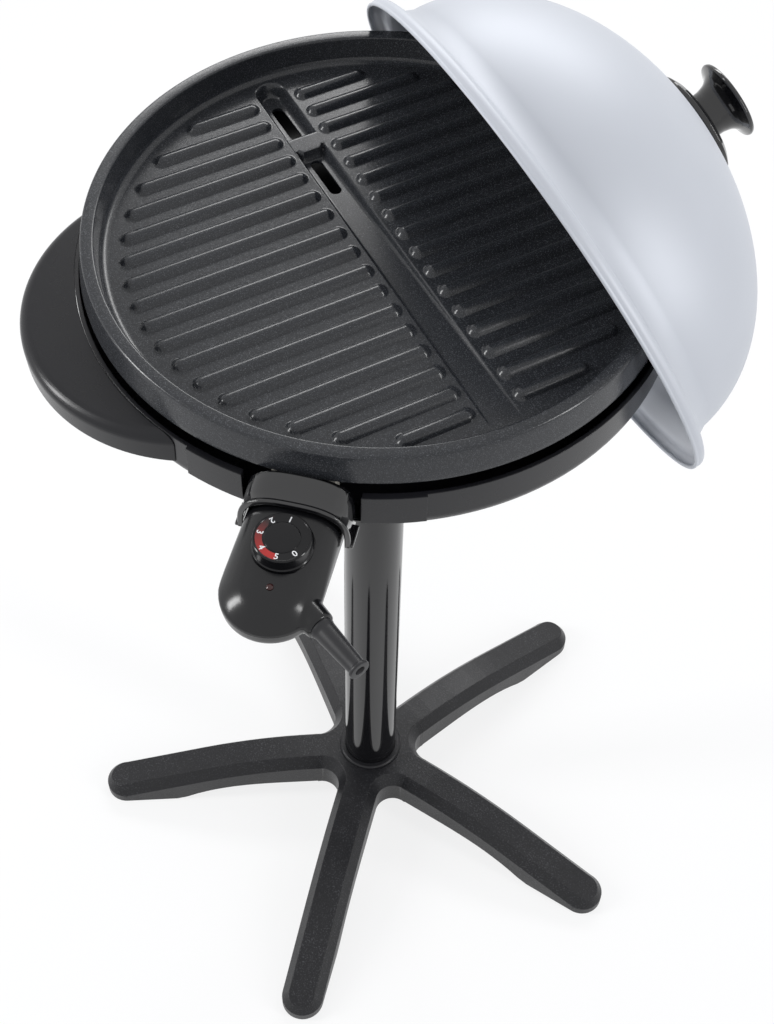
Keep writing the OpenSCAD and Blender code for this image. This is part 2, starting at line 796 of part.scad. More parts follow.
module thermostat_top() {
    color("#1c1d20") difference() {
        keep(case_split, case_top + 20) {
            hull() {
                case_round(case_split, case_top, 0, 15, $fn = 48);
                case_nose(case_split, nose_top);
            }
            hull() {
                translate([boot_x - 30, boot_y + 24, case_split - 2]) sphere(r = tail_r + 2, $fn = 32);
                tail_end($fn = 32);
            }
        }
        translate([0, -dial_out, case_top]) cylinder(r = dial_r + 1, h = 20);
        translate([0, -dial_out, case_top - spindle_l - 0.5]) cylinder(r = spindle_r + run_gap, h = spindle_l + 1);
        for (x = [-pin_x, pin_x]) translate([x, -nose_y + 1, pin_z]) rotate([90, 0, 0])
            cylinder(r = pin_r + slip_gap, h = pin_l + block_y + block_t - nose_y + 1.5);
        translate([0, -nose_y + 1, rod_z]) rotate([90, 0, 0]) cylinder(r = probe_r, h = 8);
        translate([0, -lens_out, case_top - 2]) cylinder(r = 2.6, h = 10);
    }
}

module thermostat_base() {
    color("#191a1c") difference() {
        keep(case_z - 5, case_split) {
            hull() {
                case_round(case_split, case_z, 0.8, 8, $fn = 48);
                case_nose(case_z + 2, case_split);
            }
            hull() {
                translate([boot_x - 30, boot_y + 24, case_split - 2]) sphere(r = tail_r + 2, $fn = 32);
                tail_end($fn = 32);
            }
        }
        for (y = [-case_out - 18, -case_out + 40]) translate([case_x, y, case_z - 1]) cylinder(r = 3.3, h = 4);
    }
}

module case_screws() {
    color("#8d9095") for (y = [-case_out - 18, -case_out + 40])
        translate([case_x, y, case_z + 0.8]) cylinder(r = 3, h = 2.2);
}

module sensing_rod() {
    color("#c9ccd0") translate([0, -nose_y - 7, rod_z]) rotate([-90, 0, 0]) {
        cylinder(r = probe_r, h = probe_l + 7 - probe_r);
        translate([0, 0, probe_l + 7 - probe_r]) sphere(r = probe_r);
    }
}

// Tapered boot with the hole that a cable leaves by
module cord_boot() {
    color("#1f2022") translate([boot_x, boot_y, case_split - 2]) rotate([0, 90, boot_turn]) difference() {
        union() {
            cylinder(r1 = boot_r, r2 = boot_end_r, h = boot_l - 3);
            translate([0, 0, boot_l - 3]) cylinder(r = boot_end_r + 1.1, h = 3);
        }
        translate([0, 0, -1]) cylinder(r = cord_r, h = boot_l + 2);
    }
}

module pilot_lens() {
    color("#b8231c") translate([0, -lens_out, case_top - 2]) {
        cylinder(r = 2.5, h = 2.2);
        translate([0, 0, 2.2]) cylinder(r1 = 2.5, r2 = 1.4, h = 0.8);
    }
}

module dial_knob() {
    color("#141416") translate([0, -dial_out, case_top + seat_gap]) {
        turned([[0, 0], [dial_r, 0], [dial_r, 2.4], [dial_r - 1.2, 3.2], [dial_r - 1.6, dial_h - 1.4],
            [dial_r - 2.6, dial_h - 0.4], [dial_r - 3.6, dial_h - 0.6], [0, dial_h - 0.6]]);
        translate([0, 0, -spindle_l]) cylinder(r = spindle_r, h = spindle_l + 1);
    }
}

module dial_cap() {
    color("#26272a") translate([0, -dial_out, case_top + seat_gap + dial_h - 0.6])
        turned([[0, 0], [13, 0], [12.4, 1], [11, 1.4], [0, 1.6]]);
}

// Drip tray, drawn out from under the drain slots
module drip_tray() {
    w = tray_w;
    l = tray_front - tray_in;
    color("#2b2c2f") along(slot_turn) {
        translate([tray_in, -w / 2, tray_z]) difference() {
            cube([l, w, tray_h]);
            translate([tray_t, tray_t, tray_t]) cube([l - 2 * tray_t, w - 2 * tray_t, tray_h]);
        }
        translate([tray_front, -w / 2 - 4, tray_z - 1]) cube([tray_front_t, w + 8, tray_h + 6]);
        translate([tray_front + tray_front_t, 0, tray_z + tray_h - 4]) difference() {
            cylinder(r = 22, h = 3);
            translate([-50, -30, -1]) cube([50, 60, 6]);
        }
    }
}

// Lid

module lid_place() {
    translate([lid_x, lid_y, lid_z]) rotate([0, 90 - lid_lean, lid_turn]) children();
}

function dome(r, h, a0, a1, n) =
    [for (i = [0 : n]) let (a = a0 + (a1 - a0) * i / n) [r * cos(a), flange_h + h * sin(a)]];

// Section of the lid: rolled edge, upright flange, shoulder, sloping throat and dome
function lid_outside() = concat(
    [[lid_r, 0], [lid_r, 5]],
    arc(lid_r - 6, 5, 6, 0, 80, 6),
    [[lid_r - 13.4, 12.2]],
    dome(dome_r, dome_h, 5, 90, 30));

function lid_inside() = concat(
    dome(dome_r - lid_t, dome_h - lid_t, 90, 5, 30),
    [[lid_r - 14.2, 12.2 - lid_t]],
    arc(lid_r - 6, 5, 6 - lid_t, 80, 0, 6),
    [[lid_r - lid_t, 0]]);

module lid_dome() {
    color("#c3c6cc") lid_place() difference() {
        turned(concat(lid_outside(), lid_inside()));
        translate([0, 0, lid_top - 5]) cylinder(r = screw_r + slip_gap, h = 10);
    }
}

module knob_shield() {
    seat = lid_top + slip_gap;
    color("#151517") lid_place() turned([
        [screw_r + slip_gap, seat], [20, seat - 0.5], [shield_r - 1, seat - 3.2], [shield_r, seat - 2.4],
        [shield_r * 0.72, seat + 3.2], [19, seat + knob_base - 1.4], [19, seat + knob_base],
        [screw_r + slip_gap, seat + knob_base]]);
}

module lid_knob() {
    base = lid_top + slip_gap + knob_base;
    color("#101012") lid_place() difference() {
        turned(concat(
            [[0, base], [19.2, base], [19.8, base + knob_h * 0.3], [21.6, base + knob_h * 0.52],
                [26, base + knob_h * 0.68]],
            arc(knob_r - 2, base + knob_h - 3.4, 2, -35, 80, 5),
            [[knob_r * 0.6, base + knob_h - 0.2], [0, base + knob_h]]));
        translate([0, 0, base - 1]) cylinder(r = screw_r, h = 13);
    }
}

module lid_screw() {
    head_top = apex_in - hanger_drop - hanger_t;
    color("#c9ccd0") lid_place() {
        translate([0, 0, head_top - 3.2]) cylinder(r = 6, h = 3.2);
        translate([0, 0, head_top - 1]) cylinder(r = screw_r, h = lid_top + slip_gap + knob_base + 12 - head_top + 1);
    }
}

// Height above the mouth at which a line parallel to the lid's axis, x below it, comes to
// within gap of the right wing handle's top face
function wing_meet(x, gap) =
    let (fall = tan(wing_tilt), skew = cos(lid_turn - wing_turn),
        start = lid_out * cos(lid_side - wing_turn) + x * sin(lid_lean) * skew - wing_join)
    (edge_z + gap - lid_z + x * cos(lid_lean) - start * fall)
        / (sin(lid_lean) + cos(lid_lean) * skew * fall);

// Bracket held by the knob's screw, whose round foot lies on the wing handle
module lid_hanger() {
    top = apex_in - hanger_drop;
    color("#c9ccd0") lid_place() difference() {
        union() {
            translate([hanger_x - hanger_t / 2, -hanger_w / 2, top - hanger_t]) cube([18, hanger_w, hanger_t]);
            translate([hanger_x - hanger_t / 2, -hanger_w / 2, hanger_foot_z])
                cube([hanger_t, hanger_w, top - hanger_foot_z]);
            translate([hanger_x, -hanger_w / 2, hanger_foot_z]) rotate([-90, 0, 0])
                cylinder(r = hanger_foot_r, h = hanger_w);
        }
        translate([0, 0, top - 10]) cylinder(r = screw_r + slip_gap, h = 20);
    }
}

base_star();
foot_pad(0);  // foot_pad_1
foot_pad(1);  // foot_pad_2
foot_pad(2);  // foot_pad_3
foot_pad(3);  // foot_pad_4
foot_pad(4);  // foot_pad_5
column_tube();
column_collar();
base_bolt();
grill_housing();
wing(wing_turn + 180);  // handle_left
wing(wing_turn);  // handle_right
column_socket();
housing_posts();
tray_guides();
housing_screws();
heat_shield();
grill_plate();
heating_element();
element_clips();
terminal_block();
terminal_pins();
control_hood();
drip_tray();
thermostat_top();
thermostat_base();
case_screws();
sensing_rod();
cord_boot();
pilot_lens();
dial_knob();
dial_cap();
lid_dome();
knob_shield();
lid_knob();
lid_screw();
lid_hanger();
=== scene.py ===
import json
import math

import bmesh
import bpy
import numpy as np
from mathutils import Matrix, Vector


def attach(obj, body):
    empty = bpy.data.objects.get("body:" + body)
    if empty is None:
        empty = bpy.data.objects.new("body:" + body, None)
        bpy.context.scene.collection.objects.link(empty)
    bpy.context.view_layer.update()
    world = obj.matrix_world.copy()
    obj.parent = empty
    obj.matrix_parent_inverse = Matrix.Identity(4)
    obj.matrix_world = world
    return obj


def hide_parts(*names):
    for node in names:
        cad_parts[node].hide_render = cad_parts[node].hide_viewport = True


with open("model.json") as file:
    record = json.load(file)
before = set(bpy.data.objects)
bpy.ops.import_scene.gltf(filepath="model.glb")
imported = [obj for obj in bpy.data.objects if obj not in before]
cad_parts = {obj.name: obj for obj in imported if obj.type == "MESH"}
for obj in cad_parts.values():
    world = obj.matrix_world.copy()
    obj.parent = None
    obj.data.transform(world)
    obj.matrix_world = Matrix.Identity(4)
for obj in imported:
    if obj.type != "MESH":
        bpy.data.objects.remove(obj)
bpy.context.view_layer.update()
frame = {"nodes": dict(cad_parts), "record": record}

NODES = frame["nodes"]

# places that several pieces share, in millimetres and degrees
DIAL = np.array((0.0, -279.0, 866.8))
HOOD_FOOT = 843.2
TAIL_AT, TAIL_TURN = (38.0, -322.0, 845.5), -38.5


# ---------------------------------------------------------------- materials
class Shader:
    """A Principled material with short calls for the nodes in front of it."""

    def __init__(self, name, color, roughness, **sockets):
        self.mat = bpy.data.materials.new(name)
        self.mat.use_nodes = True
        self.tree = self.mat.node_tree
        self.bsdf = self.tree.nodes["Principled BSDF"]
        self.bsdf.inputs["Base Color"].default_value = (*color, 1.0)
        self.bsdf.inputs["Roughness"].default_value = roughness
        for key, value in sockets.items():
            self.bsdf.inputs[key.replace("_", " ")].default_value = value
        self.coords = self.node("ShaderNodeTexCoord").outputs["Object"]
        self.height = None

    def node(self, kind, inputs=None, **settings):
        n = self.tree.nodes.new(kind)
        for key, value in settings.items():
            setattr(n, key, value)
        for key, value in (inputs or {}).items():
            if isinstance(value, bpy.types.NodeSocket):
                self.tree.links.new(value, n.inputs[key])
            else:
                n.inputs[key].default_value = value
        return n

    def noise(self, scale, detail=3.0, roughness=0.55):
        return self.node("ShaderNodeTexNoise", {
            "Vector": self.coords, "Scale": scale, "Detail": detail, "Roughness": roughness}).outputs["Fac"]

    def remap(self, value, low, high, to_low=0.0, to_high=1.0):
        return self.node("ShaderNodeMapRange", {
            "Value": value, "From Min": low, "From Max": high,
            "To Min": to_low, "To Max": to_high}).outputs["Result"]

    def mix(self, factor, a, b):
        n = self.node("ShaderNodeMix", data_type="RGBA")
        for socket, value in ((n.inputs[0], factor), (n.inputs[6], a), (n.inputs[7], b)):
            if isinstance(value, bpy.types.NodeSocket):
                self.tree.links.new(value, socket)
            else:
                socket.default_value = (*value, 1.0) if isinstance(value, tuple) else value
        return n.outputs[2]

    def math(self, operation, a, b):
        n = self.node("ShaderNodeMath", operation=operation)
        for socket, value in ((n.inputs[0], a), (n.inputs[1], b)):
            if isinstance(value, bpy.types.NodeSocket):
                self.tree.links.new(value, socket)
            else:
                socket.default_value = value
        return n.outputs[0]

    def color(self, socket):
        self.tree.links.new(socket, self.bsdf.inputs["Base Color"])
        return self

    def rough(self, socket):
        self.tree.links.new(socket, self.bsdf.inputs["Roughness"])
        return self

    def bump(self, height, strength, distance):
        inputs = {"Height": height, "Strength": strength, "Distance": distance}
        if self.height is not None:
            inputs["Normal"] = self.height
        self.height = self.node("ShaderNodeBump", inputs).outputs["Normal"]
        self.tree.links.new(self.height, self.bsdf.inputs["Normal"])
        return self


def moulded(name, color, roughness, grain=1400.0, depth=0.00004, uneven=0.06, edge=0.0, **sockets):
    """Plastic, rubber, enamel or metal: fine grain, slowly uneven gloss and colour, edges eased by edge metres."""
    s = Shader(name, color, roughness, **sockets)
    if edge:
        s.height = s.node("ShaderNodeBevel", {"Radius": edge}, samples=4).outputs["Normal"]
        s.tree.links.new(s.height, s.bsdf.inputs["Normal"])
    slow = s.noise(9.0, 4.0)
    darker = tuple(c * 0.86 for c in color)
    lighter = tuple(min(1.0, c * 1.14) for c in color)
    s.color(s.mix(s.remap(slow, 0.3, 0.7), darker, lighter))
    s.rough(s.remap(slow, 0.3, 0.7, max(0.02, roughness - uneven), roughness + uneven))
    if grain:
        s.bump(s.noise(grain, 2.0), 0.35, depth)
    return s.mat


def textured():
    """Spark-eroded plastic: a pebbled skin with lighter specks."""
    s = Shader("base_plastic", (0.016, 0.016, 0.018), 0.36, Specular_IOR_Level=0.3)
    s.height = s.node("ShaderNodeBevel", {"Radius": 0.0014}, samples=4).outputs["Normal"]
    pebble = s.noise(620.0, 3.0, 0.6)
    patch = s.noise(14.0, 3.0)
    fleck = s.math("MULTIPLY", s.remap(pebble, 0.54, 0.7), s.remap(patch, 0.35, 0.65, 0.25, 1.0))
    s.color(s.mix(fleck, (0.009, 0.009, 0.0105), (0.06, 0.06, 0.065)))
    s.rough(s.remap(patch, 0.3, 0.7, 0.3, 0.44))
    s.bump(pebble, 0.8, 0.0003)
    return s.mat


def coated():
    """The plate's non-stick coating, with light flecks."""
    s = Shader("plate_coating", (0.025, 0.026, 0.029), 0.26, Specular_IOR_Level=0.38)
    fleck = s.remap(s.noise(1500.0, 1.0), 0.56, 0.72)
    s.color(s.mix(fleck, (0.02, 0.0215, 0.0245), (0.1, 0.104, 0.112)))
    s.rough(s.remap(s.noise(700.0, 2.0), 0.3, 0.7, 0.15, 0.28))
    s.bump(s.noise(1100.0, 2.0), 0.25, 0.00009)
    return s.mat


def lacquered():
    """The lid's silver lacquer."""
    s = Shader("lid_lacquer", (0.54, 0.56, 0.6), 0.55, Metallic=0.25)
    slow = s.noise(6.0, 3.0)
    s.color(s.mix(s.remap(slow, 0.3, 0.7), (0.52, 0.54, 0.58), (0.555, 0.575, 0.615)))
    s.rough(s.remap(s.noise(1800.0, 2.0), 0.3, 0.7, 0.5, 0.6))
    s.bump(s.noise(2600.0, 2.0), 0.15, 0.00002)
    return s.mat


def heat_scale():
    """Red that darkens round the dial, by the angle about the dial's middle."""
    s = Shader("scale_red", (0.5, 0.015, 0.012), 0.25)
    away = s.node("ShaderNodeVectorMath", {0: s.coords, 1: (0.0, DIAL[1] / 1000, 0.0)}, operation="SUBTRACT")
    parts = s.node("ShaderNodeSeparateXYZ", {"Vector": away.outputs["Vector"]})
    turn = s.math("ARCTAN2", parts.outputs["X"], parts.outputs["Y"])
    s.color(s.mix(s.remap(turn, -2.7, -0.9), (0.4, 0.012, 0.01), (0.02, 0.003, 0.003)))
    return s.mat


def printed():
    """White print of the digits."""
    s = Shader("digit_white", (0.82, 0.82, 0.82), 0.4)
    s.rough(s.remap(s.noise(900.0), 0.3, 0.7, 0.34, 0.46))
    return s.mat


# colour, roughness and what sets each apart from the usual moulding
MOULDINGS = {
    "pad_rubber": ((0.018, 0.018, 0.018), 0.8, {}),
    "column_enamel": ((0.005, 0.005, 0.006), 0.08, dict(grain=0, uneven=0.02, Specular_IOR_Level=0.42)),
    "zinc_steel": ((0.6, 0.61, 0.64), 0.32, dict(Metallic=1.0)),
    "housing_plastic": ((0.009, 0.009, 0.011), 0.27,
                        dict(grain=2200, depth=0.00003, edge=0.001, Specular_IOR_Level=0.32)),
    "shield_sheet": ((0.75, 0.75, 0.77), 0.3, dict(Metallic=1.0)),
    "element_tube": ((0.1, 0.1, 0.105), 0.5, dict(Metallic=0.8)),
    "block_ceramic": ((0.7, 0.67, 0.6), 0.5, {}),
    "pin_metal": ((0.7, 0.7, 0.72), 0.15, dict(Metallic=1.0)),
    "hood_plastic": ((0.007, 0.007, 0.008), 0.09, dict(grain=0, uneven=0.02, Coat_Weight=0.5)),
    "tray_enamel": ((0.015, 0.015, 0.016), 0.25, {}),
    "case_plastic": ((0.006, 0.006, 0.007), 0.2,
                     dict(grain=2500, depth=0.00001, uneven=0.03, Specular_IOR_Level=0.4)),
    "boot_rubber": ((0.014, 0.014, 0.016), 0.42, dict(Specular_IOR_Level=0.4)),
    "pilot_plastic": ((0.035, 0.004, 0.004), 0.08, dict(grain=0, uneven=0.02)),
    "dial_plastic": ((0.004, 0.004, 0.005), 0.16, dict(grain=0, uneven=0.03, Specular_IOR_Level=0.28)),
    "knob_plastic": ((0.006, 0.006, 0.007), 0.1, dict(grain=0, uneven=0.03, Coat_Weight=0.3)),
}
MATS = {name: moulded(name, color, rough, **more) for name, (color, rough, more) in MOULDINGS.items()}
MATS.update(base_plastic=textured(), plate_coating=coated(), lid_lacquer=lacquered(),
            scale_red=heat_scale(), digit_white=printed())
for part in frame["record"]["subparts"]:
    node = NODES[part["node"]]
    node.data.materials.clear()
    node.data.materials.append(MATS[part["material_slot"]])


# ---------------------------------------------------------------- mesh helpers
def mm(points):
    return np.asarray(points, float) * 0.001


def spin(turn):
    """Rotation about Z by turn degrees."""
    return np.array(Matrix.Rotation(math.radians(turn), 3, "Z"))


def piece(name, verts, faces, body, slot, replaces=(), sharp=32.0, look=None):
    """A smooth-shaded piece in millimetres of the part's frame, riding on a body."""
    mesh = bpy.data.meshes.new(name)
    mesh.from_pydata(mm(verts).tolist(), [], [tuple(int(i) for i in f) for f in faces])
    return dress(mesh, name, body, slot, replaces, sharp, look)


def dress(mesh, name, body, slot, replaces=(), sharp=32.0, look=None):
    mesh.materials.clear()
    mesh.materials.append(MATS[look or slot])
    work = bmesh.new()
    work.from_mesh(mesh)
    bmesh.ops.recalc_face_normals(work, faces=work.faces)
    work.to_mesh(mesh)
    work.free()
    mesh.shade_smooth()
    mesh.set_sharp_from_angle(angle=math.radians(sharp))
    obj = bpy.data.objects.new(name, mesh)
    bpy.context.collection.objects.link(obj)
    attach(obj, body)
    if replaces:
        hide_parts(*replaces)
    return obj


def bow(cx, cy, r, a0, a1, n):
    """Points of an arc from angle a0 to a1, in degrees."""
    t = np.radians(np.linspace(a0, a1, n + 1))
    return [(cx + r * math.cos(a), cy + r * math.sin(a)) for a in t]


def rounded(points, steps=4):
    """A closed outline whose corners (x, y, radius) are replaced by arcs."""
    out, n = [], len(points)
    for i, (x, y, r) in enumerate(points):
        here = np.array((x, y), float)
        if r <= 0:
            out.append((x, y))
            continue
        back = np.array(points[i - 1][:2], float) - here
        on = np.array(points[(i + 1) % n][:2], float) - here
        lb, lo = np.linalg.norm(back), np.linalg.norm(on)
        back, on = back / lb, on / lo
        half = math.acos(max(-1.0, min(1.0, float(back @ on)))) / 2
        if half > math.radians(88):
            out.append((x, y))
            continue
        cut = min(r / math.tan(half), 0.49 * lb, 0.49 * lo)
        r = cut * math.tan(half)
        middle = here + (back + on) / np.linalg.norm(back + on) * (r / math.sin(half))
        start, end = here + back * cut - middle, here + on * cut - middle
        a0 = math.atan2(start[1], start[0])
        sweep = math.atan2(start[0] * end[1] - start[1] * end[0], float(start @ end))
        for k in range(steps + 1):
            a = a0 + sweep * k / steps
            out.append((middle[0] + r * math.cos(a), middle[1] + r * math.sin(a)))
    return out


def lathe(profile, n=128):
    """Vertices and faces of a closed (radius, z) outline turned about Z."""
    t = np.linspace(0, 2 * math.pi, n, endpoint=False)
    c, s = np.cos(t), np.sin(t)
    verts, rings = [], []
    for r, z in profile:
        if r < 1e-6:
            rings.append([len(verts)])
            verts.append((0.0, 0.0, z))
        else:
            rings.append(list(range(len(verts), len(verts) + n)))
            verts.extend(zip(r * c, r * s, [z] * n))
    faces = []
    for i, low in enumerate(rings):
        high = rings[(i + 1) % len(rings)]
        if len(low) == 1 and len(high) == 1:
            continue
        for k in range(n):
            m = (k + 1) % n
            if len(low) == 1:
                faces.append((low[0], high[m], high[k]))
            elif len(high) == 1:
                faces.append((low[k], low[m], high[0]))
            else:
                faces.append((low[k], low[m], high[m], high[k]))
    return np.array(verts, float), faces


def loft(rings, closed=False):
    """Vertices and faces through rings of equally many points; open ends are capped."""
    n = len(rings[0])
    verts = np.concatenate([np.asarray(r, float) for r in rings])
    faces = []
    count = len(rings)
    for i in range(count if closed else count - 1):
        a, b = i * n, ((i + 1) % count) * n
        faces += [(a + k, a + (k + 1) % n, b + (k + 1) % n, b + k) for k in range(n)]
    if not closed:
        faces.append(tuple(range(n - 1, -1, -1)))
        faces.append(tuple(range((count - 1) * n, count * n)))
    return verts, faces


def merged(*parts):
    """Several (vertices, faces) as one."""
    verts, faces, base = [], [], 0
    for v, f in parts:
        verts.append(np.asarray(v, float))
        faces += [tuple(i + base for i in face) for face in f]
        base += len(v)
    return np.concatenate(verts), faces


def smooth_max(a, b, k):
    """The larger of a and b, with a fillet of about k where they meet."""
    h = np.clip(k - np.abs(a - b), 0, None)
    return np.maximum(a, b) + h * h / (4 * k)


def ease(t):
    t = np.clip(t, 0, 1)
    return t * t * (3 - 2 * t)


# ---------------------------------------------------------------- grill plate
FLOOR, UNDER = 885.0, 879.5
RIB_TURN = 41.0
PITCH, ROWS = 22.4, 17
RIB_R, RIB_SUNK, RIB_TOP = 6.6, 2.0, 4.6
RIB_INNER, RIB_OUTER = 23.0, 195.5
DEPTH = 10.6
CHANNEL_FROM, CHANNEL_TO, CHANNEL_R = -196.0, 190.5, 12.5
KEEL_R = 15.9
BRIDGE_FROM, BRIDGE_TO = 118.5, 139.9


def channel_at(u, v, r):
    """How far a point lies inside the channel's outline of half width r, and the channel's depth there."""
    along = np.clip(v, CHANNEL_FROM, CHANNEL_TO)
    depth = DEPTH * np.clip((along - CHANNEL_FROM) / (CHANNEL_TO - CHANNEL_FROM), 0, 1)
    return r - np.hypot(u, v - along), depth


def floor_height(u, v):
    """Top of the cooking floor in the ribs' own frame: u along the ribs, v towards the drain."""
    # channel, with a round end and a floor that slopes away from it
    inside, depth = channel_at(u, v, CHANNEL_R)
    wall = 1.6 + 0.4 * depth
    z = -depth * ease((inside + 0.8) / wall)
    # bridge, steep towards the middle and falling gently towards the outer slot
    inner = np.clip(v - BRIDGE_FROM, -6.0, 0.0)
    corner = np.hypot(np.clip(np.abs(u) - 6.5, 0, None), inner)
    reach = 6.0 - corner
    rise = np.where(v < BRIDGE_FROM, ease(reach / 3.0), 1.0) * ease((BRIDGE_TO - v) / 7.5)
    block = -depth + (depth + 0.6) * rise
    in_bridge = (np.abs(u) < 13.2) & (v > 112.3) & (v < 140.2)
    z = np.where(in_bridge, smooth_max(z, np.where(np.abs(u) < 12.6, block, 0.6 * rise), 0.9), z)
    # ribs: lying round bars with ball ends
    middle = (ROWS - 1) / 2
    row = np.clip(np.round(v / PITCH), -middle, middle)
    y = row * PITCH
    far = np.sqrt(RIB_OUTER ** 2 - y * y)
    x = np.clip(np.abs(u), RIB_INNER, far - 5.5)
    away = np.hypot(np.abs(u) - x, v - y)
    bar = np.sqrt(np.clip(RIB_R ** 2 - away ** 2, 0, None)) - RIB_SUNK
    bar = np.where(away < RIB_R, bar, -RIB_SUNK - (away - RIB_R) * 2.0)
    return FLOOR + smooth_max(z, np.minimum(bar, RIB_TOP), 1.4)


def under_height(u, v):
    """Underside of the floor, with the keel that follows the channel."""
    inside, depth = channel_at(u, v, KEEL_R)
    keel = np.clip(depth + 2.6 - (FLOOR - UNDER), 0, None)
    return UNDER - keel * ease(inside / 1.2)


def snap(u, v, middle, r):
    """Nearest points on a circle."""
    d = np.hypot(u - middle[0], v - middle[1])
    d = np.maximum(d, 1e-9)
    return middle[0] + (u - middle[0]) * r / d, middle[1] + (v - middle[1]) * r / d


SLOTS = ((145.7, 178.7), (73.3, 106.3))
SLOT_R = 5.0
SLAB_R = 206.6


def slab():
    """The cooking floor as one closed body, with its two slots."""
    close = np.concatenate([np.linspace(0, 5, 7), np.linspace(5.9, 11, 7),
                            np.linspace(11.5, 13.9, 9), np.linspace(14.7, 27, 17)])
    wide = np.arange(28.8, SLAB_R + 2, 1.9)
    side = np.concatenate([close, wide])
    us = np.concatenate([-side[:0:-1], side])
    vs = np.arange(-186, 187) * 1.12
    U, V = np.meshgrid(us, vs, indexing="ij")
    cu, cv = (U[:-1, :-1] + U[1:, 1:]) / 2, (V[:-1, :-1] + V[1:, 1:]) / 2
    keep = np.hypot(cu, cv) < SLAB_R
    for v0, v1 in SLOTS:
        keep &= np.hypot(cu, cv - np.clip(cv, v0, v1)) > SLOT_R
    index = -np.ones(U.shape, int)
    used = np.zeros(U.shape, bool)
    for a, b in ((0, 0), (1, 0), (0, 1), (1, 1)):
        used[a:U.shape[0] - 1 + a, b:U.shape[1] - 1 + b] |= keep
    index[used] = np.arange(used.sum())
    i, j = np.nonzero(keep)
    quads = np.stack([index[i, j], index[i + 1, j], index[i + 1, j + 1], index[i, j + 1]], 1)
    edges = np.concatenate([quads[:, [k, (k + 1) % 4]] for k in range(4)])
    order = np.sort(edges, 1)
    _, first, count = np.unique(order, axis=0, return_index=True, return_counts=True)
    rim = edges[first[count == 1]]
    u, v = U[used].copy(), V[used].copy()
    edge = np.unique(rim)
    outer = edge[np.hypot(u[edge], v[edge]) > SLAB_R - 12]
    u[outer], v[outer] = snap(u[outer], v[outer], (0, 0), SLAB_R)
    for v0, v1 in SLOTS:
        mine = edge[np.hypot(u[edge], v[edge] - np.clip(v[edge], v0, v1)) < SLOT_R + 2.5]
        for end, test in ((v0, v[mine] < v0), (v1, v[mine] > v1)):
            k = mine[test]
            u[k], v[k] = snap(u[k], v[k], (0, end), SLOT_R)
        k = mine[(v[mine] >= v0) & (v[mine] <= v1)]
        u[k] = np.sign(u[k]) * SLOT_R
    top = floor_height(u, v)
    low = np.minimum(under_height(u, v), top - 2.4)
    n = len(u)
    walls = np.stack([rim[:, 1], rim[:, 0], rim[:, 0] + n, rim[:, 1] + n], 1)
    faces = quads.tolist() + (quads[:, ::-1] + n).tolist() + walls.tolist()
    verts = np.concatenate([np.stack([u, v, top], 1), np.stack([u, v, low], 1)])
    return verts, faces


def plate_ring():
    """The rim and skirt of the plate, turned."""
    inside = bow(205.5, FLOOR + 7, 7, 270, 338, 10)
    return lathe([(204.9, UNDER + 1.0), (204.9, FLOOR - 0.12), (205.3, FLOOR - 0.02)] + inside
                 + bow(216.4, 904.9, 2.1, 165, 90, 6)
                 + bow(222.6, 904.6, 2.4, 90, 8, 7)
                 + [(225.6, 900.0), (226.6, 893.0), (227.35, 886.5)]
                 + bow(227.4, 882.0, 0.6, 8, -90, 3) + bow(225.7, 882.0, 0.6, -90, -172, 3)
                 + [(221.3, 901.8), (218.0, 901.8), (215.5, 886.0), (208.0, UNDER + 0.06), (206.2, UNDER + 0.06)], 256)


def boss():
    """The block under the plate that the sensing rod goes into."""
    t = np.radians(np.arange(32) * 360 / 32 + 5.625)
    box = np.stack([np.cos(t), np.sin(t)], 1)
    box = box / np.abs(box).max(1)[:, None]
    hole = np.stack([np.cos(t), np.sin(t)], 1) * 3.25
    rings = []
    for y, grow in ((-180.0, -0.4), (-180.4, 0.0), (-211.6, 0.0), (-212.0, -0.4)):
        xs = box[:, 0] * (8 + grow)
        zs = np.where(box[:, 1] > 0, box[:, 1] * 10.4, box[:, 1] * (8 + grow))
        rings.append(np.stack([xs, np.full(32, y), 870 + zs], 1))
    for y in (-212.0, -180.0):
        rings.append(np.stack([hole[:, 0], np.full(32, y), 870 + hole[:, 1]], 1))
    return loft(rings, closed=True)


def build_plate():
    verts, faces = merged(slab(), plate_ring())
    verts = verts @ spin(RIB_TURN).T
    verts, faces = merged((verts, faces), boss())
    piece("grill_plate_ribbed", verts, faces, "grill", "plate_coating", ["grill_plate"], 50)


# ---------------------------------------------------------------- lid
LID_LEAN, LID_TURN = 22.7, 42.3
LID_AT = (Matrix.Translation((105.821, 91.662, 821.0)) @ Matrix.Rotation(math.radians(LID_TURN), 4, "Z")
          @ Matrix.Rotation(math.radians(90 - LID_LEAN), 4, "Y"))


def lid_place(part):
    m = np.array(LID_AT)
    verts, faces = part
    return verts @ m[:3, :3].T + m[:3, 3], faces


def dome_arc(r, h, a0, a1, n):
    t = np.radians(np.linspace(a0, a1, n + 1))
    return [(r * math.cos(a), 13.6 + h * math.sin(a)) for a in t]


